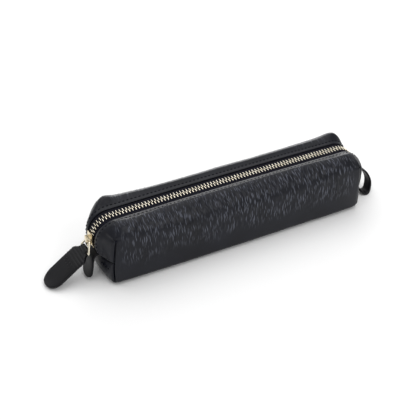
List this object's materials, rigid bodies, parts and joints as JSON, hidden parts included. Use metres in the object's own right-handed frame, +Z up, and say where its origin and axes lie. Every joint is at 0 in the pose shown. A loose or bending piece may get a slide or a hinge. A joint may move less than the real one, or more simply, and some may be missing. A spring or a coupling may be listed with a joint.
{
  "type": "fountain pen case",
  "caption": "Long boxed leather pouch for pens, closed by a metal zip that turns down over both ends, with a leather pull strap and end tabs.",
  "frame": {"origin": "centre of the flat base, on the surface that the case stands on", "axes": "+X along the case, away from the end where the closed slider parks; +Z up; -Y is the near long side"},
  "size_m": [0.2633, 0.045, 0.0455],
  "materials": {
    "leather": "dark navy pebbled shrunken leather, semi-matt",
    "strap_leather": "dark smooth leather, semi-matt",
    "lining": "plain dark cotton twill",
    "tape": "dark navy woven zip tape",
    "zip_metal": "polished pale gold",
    "thread": "dark waxed thread"
  },
  "bodies": {
    "case": {"base_leather": "leather", "left_end_lower": "leather", "right_end_lower": "leather", "base_lining": "lining", "left_seam_binding": "tape", "right_seam_binding": "tape", "corner_bindings": "tape", "zip_top_stops": "zip_metal", "zip_bottom_stop": "zip_metal", "left_end_stitches": "thread", "right_end_stitches": "thread"},
    "near_side": {"near_side_leather": "leather", "near_left_ear": "leather", "near_right_ear": "leather", "near_lining": "lining", "near_tape": "tape", "near_tape_left_end": "tape", "near_tape_right_end": "tape", "near_teeth": "zip_metal", "near_teeth_left_end": "zip_metal", "near_teeth_right_end": "zip_metal", "near_topstitch": "thread"},
    "far_side": {"far_side_leather": "leather", "far_left_ear": "leather", "far_right_ear": "leather", "far_lining": "lining", "far_tape": "tape", "far_tape_left_end": "tape", "far_tape_right_end": "tape", "far_teeth": "zip_metal", "far_teeth_left_end": "zip_metal", "far_teeth_right_end": "zip_metal", "far_topstitch": "thread"},
    "slider": {"slider_body": "zip_metal", "slider_bail": "zip_metal"},
    "link": {"pull_link": "zip_metal"},
    "strap": {"pull_strap": "strap_leather", "strap_stitches": "thread"},
    "tongue": {"end_tongue": "strap_leather"},
    "loop": {"hanging_loop": "strap_leather"}
  },
  "joints": [
    {"name": "near_mouth", "type": "hinge", "parent": "case", "child": "near_side", "pos_m": [0, -0.0225, 0.0202], "axis": [1, 0, 0], "range_deg": [0, 18], "deforming": ["near_tape_left_end", "near_tape_right_end", "near_teeth_left_end", "near_teeth_right_end"]},
    {"name": "far_mouth", "type": "hinge", "parent": "case", "child": "far_side", "pos_m": [0, 0.0225, 0.0202], "axis": [1, 0, 0], "range_deg": [-18, 0], "deforming": ["far_tape_left_end", "far_tape_right_end", "far_teeth_left_end", "far_teeth_right_end"]},
    {"name": "slider_travel", "type": "hinge", "parent": "case", "child": "slider", "pos_m": [-0.0904, 0, 0.028], "axis": [0, -1, 0], "range_deg": [-77, 0]},
    {"name": "link_hinge", "type": "hinge", "parent": "slider", "child": "link", "pos_m": [-0.10784, 0, 0.02739], "axis": [0, 1, 0], "range_deg": [0, 100]},
    {"name": "strap_hinge", "type": "hinge", "parent": "link", "child": "strap", "pos_m": [-0.1106, 0, 0.0206], "axis": [0, 1, 0], "range_deg": [0, 60]},
    {"name": "tongue_flex", "type": "hinge", "parent": "case", "child": "tongue", "pos_m": [-0.1078, 0, 0.0175], "axis": [0, 1, 0], "range_deg": [0, 30]},
    {"name": "loop_flex", "type": "hinge", "parent": "case", "child": "loop", "pos_m": [0.1085, 0, 0.0175], "axis": [0, -1, 0], "range_deg": [0, 40]}
  ],
  "couplings": [
    {"joint": "far_mouth", "follows": "near_mouth", "ratio": -1}
  ]
}
